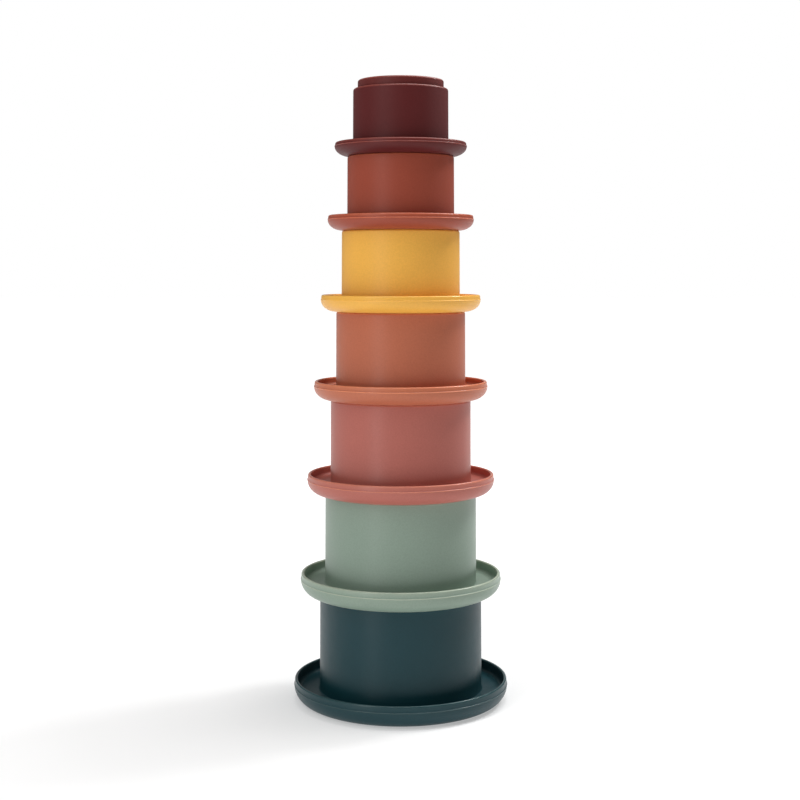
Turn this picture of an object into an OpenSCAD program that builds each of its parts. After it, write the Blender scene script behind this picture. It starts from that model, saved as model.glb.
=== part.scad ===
// Stacking tower toy: seven flanged cups, each one moulding, piled mouth down. In millimetres.
// The raised boss on each cup's closed end seats in the socket under the flange of the next
// smaller cup, and that flange's flat land rests on the shoulder around the boss.
// Cup 0 is the smallest, at the top. The frame's origin is under the largest cup, on its land.

/* [Body] */
// Outside diameter of the smallest cup at its shoulder
smallest_body_d = 58.6; // [57:0.1:60]
// How much wider each cup's body is than the one above it
body_d_step = 7.3; // [7:0.1:7.8]
// Height of the smallest cup, from the land it stands on to its shoulder
smallest_body_h = 41; // [30:0.5:60]
// How much taller each cup is than the one above it
body_h_step = 4.6; // [3:0.1:8]
// Wall thickness of body and closed end
wall = 1.8; // [1.4:0.1:2.2]
// Taper of the body on each side, in degrees, wider towards the mouth
draft = 0.4; // [0.1:0.1:0.6]
// Rounding of the shoulder
shoulder_round = 1.4; // [1:0.1:1.6]

/* [Flange] */
// Diameter of the smallest flange, over its parting line
smallest_flange_d = 82; // [81:0.5:86]
// How much wider each flange is than the one above it
flange_d_step = 9; // [8.5:0.1:10]
// Height of the smallest flange, from its land to the top of its rim
smallest_flange_h = 8.4; // [8.4:0.1:11]
// How much taller each flange is than the one above it
flange_h_step = 1; // [0.5:0.1:1.2]
// Share of the flange's height that its curved underside takes
curve_share = 0.69; // [0.65:0.01:0.75]
// Width of the curved underside, from the land to the outside
curve_w = 9; // [8.5:0.1:9.1]
// Thickness of the rim, which is fully rounded on top
rim_t = 2; // [1.6:0.1:2.2]
// How far the rim leans in, from the parting line to its top
rim_lean = 0.5; // [0.3:0.1:0.8]
// Thickness of the dish floor
floor_t = 1.6; // [1.4:0.1:1.7]

/* [Boss and socket] */
// Height of the boss above the shoulder
boss_h = 5.2; // [4.6:0.1:5.2]
// Width of the flat and rounded ledge around the boss
ledge_w = 2.8; // [2.7:0.1:3]
// Rounding of the boss's top edge
boss_round = 1.2; // [0.6:0.1:1.5]
// Gap on each side between a boss and the socket over it
socket_gap = 0.35; // [0.3:0.05:0.4]
// Gap between the top of a boss and the socket's ceiling
ceiling_gap = 0.2; // [0.1:0.05:0.2]
// Bevel at the socket's mouth
socket_bevel = 0.3; // [0.2:0.05:0.3]

/* [Colours] */
// Red, green and blue of the smallest cup, cup 0
burgundy = [0.35, 0.15, 0.16]; // [0:0.01:1]
// Red, green and blue of cup 1
rust = [0.55, 0.27, 0.21]; // [0:0.01:1]
// Red, green and blue of cup 2
mustard = [0.87, 0.62, 0.27]; // [0:0.01:1]
// Red, green and blue of cup 3
terracotta = [0.68, 0.38, 0.29]; // [0:0.01:1]
// Red, green and blue of cup 4
rose = [0.65, 0.38, 0.35]; // [0:0.01:1]
// Red, green and blue of cup 5
sage = [0.53, 0.60, 0.55]; // [0:0.01:1]
// Red, green and blue of the largest cup, cup 6
teal = [0.17, 0.27, 0.29]; // [0:0.01:1]

/* [Hidden] */
$fn = 128;
// The largest cup's number
last_cup = 6;
// The bead along the parting line: how far it stands proud, and half its height
bead_out = 0.15;
bead_half_h = 0.25;
// Rounding of the corners inside a cup
inner_round = 1;
// Rounding where the body meets the dish floor
root_round = 1;
// Share of the dish's depth that the rounding at the foot of its rim takes
foot_share = 0.35;
// Straight steps in a quarter turn: of the large curve, and of the small roundings
CURVE_STEPS = 16;
ROUND_STEPS = 6;
// Derived values, the same in every cup
socket_depth = boss_h + ceiling_gap;
dish_floor_z = socket_depth + floor_t;
rim_r = rim_t / 2;

// Sizes that grow from cup to cup
function shoulder_r(cup) = (smallest_body_d + cup * body_d_step) / 2;
function cup_h(cup) = smallest_body_h + cup * body_h_step;
function body_r(cup, z) = shoulder_r(cup) + (cup_h(cup) - z) * tan(draft);
function flange_r(cup) = (smallest_flange_d + cup * flange_d_step) / 2;
function flange_h(cup) = smallest_flange_h + cup * flange_h_step;
function boss_r(cup) = shoulder_r(cup) - ledge_w;
// A cup's socket takes the boss of the next larger cup
function socket_r(cup) = boss_r(cup + 1) + socket_gap;
// Height of a cup's land when the tower is stacked
function land_z(cup) = cup >= last_cup ? 0 : land_z(cup + 1) + cup_h(cup + 1);

// Points on an elliptical arc about [r, z], from one angle to another
function arc(r, z, rx, rz, from, to, steps) =
    [for (i = [0:steps]) let (a = from + (to - from) * i / steps) [r + rx * cos(a), z + rz * sin(a)]];

// The cup's outside, from the socket's mouth out along the land and up to the axis
function outside(cup) =
    let (
        wall_r = flange_r(cup) - bead_out,
        curve_h = curve_share * flange_h(cup),
        rim_mid = flange_r(cup) - rim_lean - rim_r,
        rim_z = flange_h(cup) - rim_r,
        foot = foot_share * (flange_h(cup) - dish_floor_z),
        foot_mid = rim_mid - rim_r - foot,
        root_mid = body_r(cup, dish_floor_z) + root_round,
        shoulder_mid = shoulder_r(cup) - shoulder_round,
        boss_top = cup_h(cup) + boss_h
    )
    concat(
        [[socket_r(cup) + socket_bevel, 0]],
        arc(wall_r - curve_w, curve_h, curve_w, curve_h, -90, 0, CURVE_STEPS),
        arc(wall_r, curve_h + bead_half_h, bead_out, bead_half_h, -90, 90, ROUND_STEPS),
        arc(rim_mid, rim_z, rim_r, rim_r, 0, 180, 2 * ROUND_STEPS),
        arc(foot_mid, dish_floor_z + foot, foot, foot, 0, -90, ROUND_STEPS),
        arc(root_mid, dish_floor_z + root_round, root_round, root_round, -90, -180, ROUND_STEPS),
        arc(shoulder_mid, cup_h(cup) - shoulder_round, shoulder_round, shoulder_round, 0, 90, ROUND_STEPS),
        [[boss_r(cup), cup_h(cup)]],
        arc(boss_r(cup) - boss_round, boss_top - boss_round, boss_round, boss_round, 0, 90, ROUND_STEPS),
        [[0, boss_top]]
    );

// The cup's inside, from the axis out and down to the socket's wall
function inside(cup) =
    let (
        end_z = cup_h(cup) - wall,
        recess_z = end_z + boss_h,
        recess_r = boss_r(cup) - wall,
        inner_r = shoulder_r(cup) - wall,
        inner_mid = inner_r - inner_round,
        recess_mid = recess_r - inner_round
    )
    concat(
        [[0, recess_z]],
        arc(recess_mid, recess_z - inner_round, inner_round, inner_round, 90, 0, ROUND_STEPS),
        [[recess_r, end_z]],
        arc(inner_mid, end_z - inner_round, inner_round, inner_round, 90, 0, ROUND_STEPS),
        [
            [body_r(cup, socket_depth) - wall, socket_depth],
            [socket_r(cup), socket_depth],
            [socket_r(cup), socket_bevel]
        ]
    );

// One cup standing on its land, in its place in the tower
module cup(number) {
    translate([0, 0, land_z(number)]) {
        rotate_extrude() {
            polygon(concat(outside(number), inside(number)));
        }
    }
}

module teal_cup() {
    color(teal) cup(6);
}

module sage_cup() {
    color(sage) cup(5);
}

module rose_cup() {
    color(rose) cup(4);
}

module terracotta_cup() {
    color(terracotta) cup(3);
}

module mustard_cup() {
    color(mustard) cup(2);
}

module rust_cup() {
    color(rust) cup(1);
}

module burgundy_cup() {
    color(burgundy) cup(0);
}

teal_cup();
sage_cup();
rose_cup();
terracotta_cup();
mustard_cup();
rust_cup();
burgundy_cup();
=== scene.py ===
"""Looks for the stacking tower toy: seven satin plastic cups on a pale studio floor."""

import math
from types import SimpleNamespace

import bpy
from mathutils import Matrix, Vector


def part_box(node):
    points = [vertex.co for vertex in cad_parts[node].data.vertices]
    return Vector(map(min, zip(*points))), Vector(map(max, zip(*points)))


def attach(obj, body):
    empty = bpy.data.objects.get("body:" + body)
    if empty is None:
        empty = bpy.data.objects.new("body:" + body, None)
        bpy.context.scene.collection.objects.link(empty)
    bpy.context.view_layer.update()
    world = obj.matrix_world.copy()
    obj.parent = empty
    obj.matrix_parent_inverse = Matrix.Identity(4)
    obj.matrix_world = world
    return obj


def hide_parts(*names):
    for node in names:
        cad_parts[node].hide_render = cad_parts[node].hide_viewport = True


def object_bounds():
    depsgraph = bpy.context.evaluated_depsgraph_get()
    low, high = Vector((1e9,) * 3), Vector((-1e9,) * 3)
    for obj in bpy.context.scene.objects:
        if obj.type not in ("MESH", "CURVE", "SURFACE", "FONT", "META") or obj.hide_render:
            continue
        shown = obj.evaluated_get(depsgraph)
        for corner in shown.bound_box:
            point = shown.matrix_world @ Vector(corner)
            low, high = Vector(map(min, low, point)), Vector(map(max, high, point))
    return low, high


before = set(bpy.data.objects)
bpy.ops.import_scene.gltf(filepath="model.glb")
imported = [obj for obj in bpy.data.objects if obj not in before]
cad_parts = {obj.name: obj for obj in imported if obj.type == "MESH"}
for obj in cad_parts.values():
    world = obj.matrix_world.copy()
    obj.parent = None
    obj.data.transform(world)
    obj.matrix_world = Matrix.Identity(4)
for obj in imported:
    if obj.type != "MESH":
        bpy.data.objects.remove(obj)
cad_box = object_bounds()

MM = 0.001

# The cups, from the smallest to the largest: colour, the paler and warmer colour of fully worn
# plastic, which also serves as a painted highlight on the rim's crest, the bead, the shoulder and
# the boss's edge (both sRGB), roughness and specular level
CUPS = {
    "burgundy": ((0.33, 0.097, 0.098), (0.64, 0.33, 0.28), 0.55, 0.27),
    "rust": ((0.585, 0.264, 0.19), (0.91, 0.51, 0.37), 0.45, 0.33),
    "mustard": ((0.926, 0.692, 0.296), (0.99, 0.75, 0.36), 0.41, 0.35),
    "terracotta": ((0.72, 0.409, 0.30), (0.97, 0.61, 0.45), 0.41, 0.35),
    "rose": ((0.705, 0.406, 0.361), (0.90, 0.57, 0.45), 0.41, 0.35),
    "sage": ((0.546, 0.619, 0.562), (0.79, 0.82, 0.73), 0.41, 0.35),
    "teal": ((0.074, 0.235, 0.263), (0.29, 0.38, 0.38), 0.41, 0.35),
}

# Sizes that grow from cup to cup, in millimetres: at the smallest cup, and the step
SHOULDER_D, SHOULDER_D_STEP = 58.6, 7.3
FLANGE_H, FLANGE_H_STEP = 8.4, 1.0
# Sizes that are the same on every cup, in millimetres
WALL = 1.8
DRAFT = math.radians(0.4)
SHOULDER_ROUND = 1.4
# The flange's curved underside: its width, and its share of the flange's height
CURVE_W, CURVE_SHARE = 9.0, 0.69
# The bead where the mould's halves meet, and the fine groove above it
BEAD_OUT, BEAD_HALF_H = 0.15, 0.25
GROOVE = 0.15
RIM_R, RIM_LEAN = 1.0, 0.5
# The dish: its floor's thickness, the roundings at its outer and inner foot
FLOOR_T = 1.6
FOOT_SHARE = 0.35
ROOT_ROUND = 1.0
INNER_ROUND = 1.0
BOSS_H, BOSS_ROUND = 5.2, 1.2
LEDGE_W = 2.8
SOCKET_DEPTH, SOCKET_GAP, SOCKET_BEVEL = 5.4, 0.35, 0.3
# The mark that the mould's gate leaves in the middle of the boss: a shallow pit with a low nub,
# whose top is narrower than its foot
GATE_R, GATE_DEPTH = 3.2, 0.35
NUB_R, NUB_TAPER, NUB_H = 0.8, 0.8, 0.2

# How worn the plastic is, from 0 (fresh) to 1 (fully worn) and over on the finest edges. On the
# bead, the rim's crest, the shoulder and the boss's edge it is also a painted highlight.
# On a rounding: at its two ends, and in its middle
LAND_WEAR = (0.15, 0)
# These four also lay a painted highlight on the bead, the rim's crest, the shoulder and the boss's
# edge
BEAD_WEAR_AND_HIGHLIGHT = (0.1, 1.5)
RIM_WEAR_AND_HIGHLIGHT = (0.4, 1.1)
SHOULDER_WEAR_AND_HIGHLIGHT = (0, 0.8)
BOSS_WEAR_AND_HIGHLIGHT = (0.2, 1.2)
NO_WEAR = (0, 0)
# At a corner
MOUTH_WEAR = 0.8
SOCKET_WEAR = 0.5
CEILING_WEAR = 0.2
LEDGE_WEAR = 0.2
NUB_WEAR = 0.5

# How finely a cup is turned: steps round it, and steps in the large curve and in the roundings
TURN = 192
FINE, COARSE = 24, 8
# Faces that meet at more than this angle keep a sharp edge
SHARP_ANGLE = math.radians(30)


# ---- Shapes ----


def arc(r, z, width, height, start, end, steps, wear_and_highlight):
    """Points (r, z, wear and painted highlight) on an elliptical arc, each between its ends' and
    middle's value.
    """
    points = []
    for i in range(steps + 1):
        share = i / steps
        angle = math.radians(start + (end - start) * share)
        worn_and_highlit = wear_and_highlight[0] + (wear_and_highlight[1] - wear_and_highlight[0]) * math.sin(math.pi * share)
        points.append((r + width * math.cos(angle), z + height * math.sin(angle), worn_and_highlit))
    return points


def rounding(r, z, radius, start, end, wear_and_highlight=NO_WEAR, steps=COARSE):
    """Points on a circular arc."""
    return arc(r, z, radius, radius, start, end, steps, wear_and_highlight)


def measures(number, node):
    """One cup's own sizes in millimetres, with heights above its land."""
    low, high = (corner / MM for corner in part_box(node))
    shoulder_r = (SHOULDER_D + number * SHOULDER_D_STEP) / 2
    return SimpleNamespace(
        land=low.z,
        h=high.z - low.z - BOSS_H,
        shoulder_r=shoulder_r,
        boss_r=shoulder_r - LEDGE_W,
        socket_r=shoulder_r + SHOULDER_D_STEP / 2 - LEDGE_W + SOCKET_GAP,
        flange_r=high.x,
        flange_h=FLANGE_H + number * FLANGE_H_STEP,
    )


def body_r(m, z):
    """The body's outer radius at a height, wider towards the mouth."""
    return m.shoulder_r + (m.h - z) * math.tan(DRAFT)


def gate_mark(top):
    """From the edge of the pit in towards the axis."""
    pit = top - GATE_DEPTH
    return [
        (GATE_R, top, 0),
        (GATE_R - GATE_DEPTH, pit, 0),
        (NUB_R, pit, 0),
        (NUB_R * NUB_TAPER, pit + NUB_H, NUB_WEAR),
        (0, pit + NUB_H, NUB_WEAR),
    ]


def outside(m):
    """From the socket's mouth out along the land, over the rim and up to the axis."""
    floor_z = SOCKET_DEPTH + FLOOR_T
    wall_r = m.flange_r - BEAD_OUT
    curve_h = CURVE_SHARE * m.flange_h
    rim_mid = m.flange_r - RIM_LEAN - RIM_R
    foot = FOOT_SHARE * (m.flange_h - floor_z)
    root_mid = body_r(m, floor_z) + ROOT_ROUND
    shoulder_mid = m.shoulder_r - SHOULDER_ROUND
    top = m.h + BOSS_H
    curve = arc(wall_r - CURVE_W, curve_h, CURVE_W, curve_h, -90, 0, FINE, LAND_WEAR)
    bead = arc(wall_r, curve_h + BEAD_HALF_H, BEAD_OUT, BEAD_HALF_H, -90, 90, COARSE, BEAD_WEAR_AND_HIGHLIGHT)
    # The bead's first point is the curve's last, so it is left out
    return (
        [(m.socket_r + SOCKET_BEVEL, 0, MOUTH_WEAR)]
        + curve
        + bead[1:]
        + [(wall_r - GROOVE, curve_h + 2 * BEAD_HALF_H + GROOVE, 0)]
        + rounding(rim_mid, m.flange_h - RIM_R, RIM_R, 0, 180, RIM_WEAR_AND_HIGHLIGHT, 2 * COARSE)
        + rounding(rim_mid - RIM_R - foot, floor_z + foot, foot, 0, -90)
        + rounding(root_mid, floor_z + ROOT_ROUND, ROOT_ROUND, -90, -180)
        + rounding(shoulder_mid, m.h - SHOULDER_ROUND, SHOULDER_ROUND, 0, 90, SHOULDER_WEAR_AND_HIGHLIGHT)
        + [(m.boss_r, m.h, LEDGE_WEAR)]
        + rounding(m.boss_r - BOSS_ROUND, top - BOSS_ROUND, BOSS_ROUND, 0, 90, BOSS_WEAR_AND_HIGHLIGHT)
        + gate_mark(top)
    )


def inside(m):
    """From the axis under the closed end out and down to the socket's mouth."""
    end_z = m.h - WALL
    recess_z = end_z + BOSS_H
    recess_r = m.boss_r - WALL
    inner_mid = m.shoulder_r - WALL - INNER_ROUND
    return (
        [(0, recess_z, 0)]
        + rounding(recess_r - INNER_ROUND, recess_z - INNER_ROUND, INNER_ROUND, 90, 0)
        + [(recess_r, end_z, 0)]
        + rounding(inner_mid, end_z - INNER_ROUND, INNER_ROUND, 90, 0)
        + [
            (body_r(m, SOCKET_DEPTH) - WALL, SOCKET_DEPTH, CEILING_WEAR),
            (m.socket_r, SOCKET_DEPTH, 0),
            (m.socket_r, SOCKET_BEVEL, SOCKET_WEAR),
        ]
    )


def turned(name, outline, land):
    """A closed mesh turned from an outline that starts off the axis and meets it twice."""
    points, faces, wear_and_highlight, rings = [], [], [], []
    for r, z, worn_and_highlit in outline:
        if r == 0:
            rings.append([len(points)] * TURN)
            points.append((0, 0, (z + land) * MM))
            wear_and_highlight.append(worn_and_highlit)
            continue
        rings.append(list(range(len(points), len(points) + TURN)))
        for i in range(TURN):
            angle = math.tau * i / TURN
            points.append((r * math.cos(angle) * MM, r * math.sin(angle) * MM, (z + land) * MM))
            wear_and_highlight.append(worn_and_highlit)
    for here, there in zip(rings, rings[1:] + rings[:1]):
        # Two points on the axis have no faces between them
        if here[0] == here[1] and there[0] == there[1]:
            continue
        for i in range(TURN):
            j = (i + 1) % TURN
            corners = (here[i], here[j], there[j], there[i])
            faces.append([c for k, c in enumerate(corners) if c not in corners[:k]])
    mesh = bpy.data.meshes.new(name)
    mesh.from_pydata(points, [], faces)
    # The wear value, which on the rim, bead, shoulder and boss also sets a painted highlight
    mesh.attributes.new("wear_and_highlight", "FLOAT", "POINT").data.foreach_set("value", wear_and_highlight)
    mesh.shade_smooth()
    mesh.set_sharp_from_angle(angle=SHARP_ANGLE)
    piece = bpy.data.objects.new(name, mesh)
    bpy.context.collection.objects.link(piece)
    return piece


# ---- Materials ----

# How fine the noises in the plastic are, in features per metre
FLOW, CLOUD, GRAIN, WAVE = 28, 140, 1100, 95
# The values between which a noise is stretched to its full effect
LOW, HIGH = 0.3, 0.7
FLOW_LOW, FLOW_HIGH = 0.35, 0.65
# How much lighter or darker the mottle makes the colour, and the grain's share in it
MOTTLE = 0.06
GRAIN_SHARE = 0.7
# How much of the worn colour, which is partly a painted highlight, shows where the plastic is
# fully worn, from patch to patch
RUB_AND_HIGHLIGHT_LEAST, RUB_AND_HIGHLIGHT_MOST = 0.35, 0.55
# How much the roughness varies, and how much smoother fully worn plastic is
PATCHY_GLOSS = 0.03
POLISH = 0.18
# The surface's slow waviness and its fine grain: strength and depth
SAG, SAG_DEPTH = 0.25, 0.15 * MM
PORES, PORE_DEPTH = 0.35, 0.07 * MM
PLASTIC_IOR = 1.47

# The floor: how fine its mottle is, and from how much of the paler of its two tones it starts
PAPER, PAPER_LEAST = 4, 0.985
FLOOR_TONES = ((0.55, 0.55, 0.55, 1), (0.60, 0.60, 0.60, 1))
FLOOR_ROUGHNESS, FLOOR_SPECULAR = 0.9, 0.1
# Its glow, which grows between two distances from the tower, in metres
NEAR, FAR = 0.2, 1.3
NEAR_GLOW, FAR_GLOW = 0.39, 1.0


def linear(colour):
    """A colour from sRGB to the linear values that a shader takes."""
    return tuple(c / 12.92 if c <= 0.04045 else ((c + 0.055) / 1.055) ** 2.4 for c in colour)


def scaled(colour, factor):
    """A colour made lighter or darker in the same hue, with an alpha of 1."""
    return (*(c * factor for c in colour), 1)


class Nodes:
    """Short names for adding nodes to one material."""

    def __init__(self, material):
        material.use_nodes = True
        self.tree = material.node_tree
        self.shader = self.tree.nodes["Principled BSDF"]

    def add(self, kind, inputs=(), **settings):
        """A node of a kind, with each input linked if it is a socket and set if it is a value."""
        node = self.tree.nodes.new("ShaderNode" + kind)
        for key, value in settings.items():
            setattr(node, key, value)
        for key, value in dict(inputs).items():
            if isinstance(value, bpy.types.NodeSocket):
                self.tree.links.new(value, node.inputs[key])
            else:
                node.inputs[key].default_value = value
        return node

    def link(self, output, name):
        """An output taken to the shader's input of a name."""
        self.tree.links.new(output, self.shader.inputs[name])

    def noise(self, place, scale, detail, roughness=0.5):
        """A noise whose features are about 1/scale metres across."""
        inputs = {"Vector": place, "Scale": scale, "Detail": detail, "Roughness": roughness}
        return self.add("TexNoise", inputs).outputs[0]

    def ramp(self, value, low, high, to_low, to_high):
        """A value taken from one range to another, and held within it."""
        inputs = {
            "Value": value,
            "From Min": low,
            "From Max": high,
            "To Min": to_low,
            "To Max": to_high,
        }
        return self.add("MapRange", inputs).outputs[0]

    def math(self, operation, a, b):
        return self.add("Math", {0: a, 1: b}, operation=operation).outputs[0]

    def mix(self, factor, a, b):
        """A colour between two. The Mix node's colour sockets are 6 and 7 in, and 2 out."""
        return self.add("Mix", {0: factor, 6: a, 7: b}, data_type="RGBA").outputs[2]

    def bump(self, height, strength, depth, **normal):
        inputs = {"Strength": strength, "Distance": depth, "Height": height, **normal}
        return self.add("Bump", inputs).outputs[0]


def plastic(name, fresh, worn_and_highlit, roughness, specular):
    """Satin moulded plastic: faint flow mottle, fine moulded grain, and rubbed edges whose paler
    colour is also a painted highlight on the rim, bead, shoulder and boss.
    """
    colour = linear(fresh)
    material = bpy.data.materials.new(name)
    n = Nodes(material)
    place = n.add("TexCoord").outputs["Object"]
    flow = n.noise(place, FLOW, detail=3)
    cloud = n.noise(place, CLOUD, detail=4, roughness=0.6)
    grain = n.noise(place, GRAIN, detail=2)
    wave = n.noise(place, WAVE, detail=1)
    wear_and_highlight = n.add("Attribute", attribute_name="wear_and_highlight").outputs["Fac"]

    flow_part = n.ramp(flow, FLOW_LOW, FLOW_HIGH, 0, 1 - GRAIN_SHARE)
    grain_part = n.ramp(grain, LOW, HIGH, 0, GRAIN_SHARE)
    uneven = n.math("ADD", flow_part, grain_part)
    mottle = n.mix(uneven, scaled(colour, 1 - MOTTLE), scaled(colour, 1 + MOTTLE))
    # Where the wear value is high the paler worn colour goes on: rubbed plastic, and a painted
    # highlight on the rim, bead, shoulder and boss
    rubbed_and_highlit = n.math("MULTIPLY", wear_and_highlight, n.ramp(cloud, LOW, HIGH, RUB_AND_HIGHLIGHT_LEAST, RUB_AND_HIGHLIGHT_MOST))
    n.link(n.mix(rubbed_and_highlit, mottle, scaled(linear(worn_and_highlit), 1)), "Base Color")

    satin = n.ramp(cloud, LOW, HIGH, roughness - PATCHY_GLOSS, roughness + PATCHY_GLOSS)
    n.link(n.math("SUBTRACT", satin, n.math("MULTIPLY", wear_and_highlight, POLISH)), "Roughness")

    sag = n.bump(wave, SAG, SAG_DEPTH)
    n.link(n.bump(grain, PORES, PORE_DEPTH, Normal=sag), "Normal")

    n.shader.inputs["IOR"].default_value = PLASTIC_IOR
    n.shader.inputs["Specular IOR Level"].default_value = specular
    return material


def floor_material():
    """Pale matt paper, partly lit from within so that it stays even out to the horizon."""
    material = bpy.data.materials.new("pale_floor")
    n = Nodes(material)
    place = n.add("TexCoord").outputs["Object"]
    tone = n.ramp(n.noise(place, PAPER, detail=3), LOW, HIGH, PAPER_LEAST, 1.0)
    n.link(n.mix(tone, *FLOOR_TONES), "Base Color")
    n.shader.inputs["Roughness"].default_value = FLOOR_ROUGHNESS
    n.shader.inputs["Specular IOR Level"].default_value = FLOOR_SPECULAR
    away = n.add("VectorMath", {0: place}, operation="LENGTH").outputs["Value"]
    n.shader.inputs["Emission Color"].default_value = (1, 1, 1, 1)
    n.link(n.ramp(away, NEAR, FAR, NEAR_GLOW, FAR_GLOW), "Emission Strength")
    return material


# ---- Studio ----

# The tower's middle
MIDDLE = Vector((0, 0, (cad_box[0].z + cad_box[1].z) / 2))
# The camera: its place in metres, how far it looks down in degrees, and its lens in millimetres
CAMERA_AT = (-0.00045, -0.8989, 0.2740)
CAMERA_DIP = 5.268
CAMERA_LENS = 64.59
# Half the floor's side, and a distance that takes in all of it, in metres
FLOOR_HALF = 12.0
SIGHT = 50

# How bright the backdrop looks, and how brightly the room lights the tower
BACKDROP, ROOM = 1.0, 0.075
# The area lights that face the tower: azimuth and elevation in degrees (azimuth 0 is at the
# camera, 90 to its right), distance, width and height in metres, and watts
SOFTBOXES = {
    "key": (-44, 45, 1.3, 0.45, 1.2, 7.0),
    "strip": (-38, -2, 1.2, 0.12, 0.3, 1.3),
    "back": (116, 64, 1.3, 0.8, 0.9, 12.2),
    "edge": (120, 44, 1.3, 0.2, 0.2, 5.3),
    "kick": (-130, 32, 1.3, 0.5, 0.9, 0.4),
    "top": (0, 90, 1.2, 0.4, 0.4, 4.8),
    "rear": (180, 10, 1.5, 1.0, 0.6, 0.65),
}


def camera():
    data = bpy.data.cameras.new("camera")
    data.lens = CAMERA_LENS
    data.clip_end = SIGHT
    eye = bpy.data.objects.new("camera", data)
    eye.location = CAMERA_AT
    eye.rotation_euler = (math.radians(90 - CAMERA_DIP), 0, 0)
    bpy.context.collection.objects.link(eye)
    bpy.context.scene.camera = eye


def surroundings(seen, lit):
    """A white backdrop for the camera, and a dimmer room for the light it sends."""
    world = bpy.data.worlds.new("studio")
    world.use_nodes = True
    nodes, links = world.node_tree.nodes, world.node_tree.links
    path = nodes.new("ShaderNodeLightPath")
    strength = nodes.new("ShaderNodeMapRange")
    strength.inputs["To Min"].default_value = lit
    strength.inputs["To Max"].default_value = seen
    links.new(path.outputs["Is Camera Ray"], strength.inputs["Value"])
    links.new(strength.outputs[0], nodes["Background"].inputs["Strength"])
    nodes["Background"].inputs["Color"].default_value = (1, 1, 1, 1)
    bpy.context.scene.world = world


def floor():
    half = FLOOR_HALF
    mesh = bpy.data.meshes.new("floor")
    corners = [(-half, -half, 0), (half, -half, 0), (half, half, 0), (-half, half, 0)]
    mesh.from_pydata(corners, [], [(0, 1, 2, 3)])
    mesh.materials.append(floor_material())
    ground = bpy.data.objects.new("floor", mesh)
    ground.location.z = cad_box[0].z
    bpy.context.collection.objects.link(ground)


def softbox(name, azimuth, elevation, distance, width, height, watts):
    """An area light that faces the tower's middle and doesn't show in the picture."""
    data = bpy.data.lights.new(name, "AREA")
    data.shape = "RECTANGLE"
    data.size, data.size_y = width, height
    data.energy = watts
    lamp = bpy.data.objects.new(name, data)
    around, up = math.radians(azimuth), math.radians(elevation)
    level = math.cos(up)
    towards = Vector((math.sin(around) * level, -math.cos(around) * level, math.sin(up)))
    lamp.location = MIDDLE + distance * towards
    lamp.rotation_euler = towards.to_track_quat("Z", "Y").to_euler()
    lamp.visible_camera = False
    bpy.context.collection.objects.link(lamp)


# ---- Making ----

camera()
surroundings(seen=BACKDROP, lit=ROOM)
floor()
for name, setting in SOFTBOXES.items():
    softbox(name, *setting)

for number, (name, looks) in enumerate(CUPS.items()):
    node = name + "_cup"
    sizes = measures(number, node)
    cup = turned("cup_" + name, outside(sizes) + inside(sizes), sizes.land)
    cup.data.materials.append(plastic(name + "_plastic_look", *looks))
    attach(cup, name)
    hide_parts(node)

bpy.context.scene.view_settings.view_transform = "Standard"
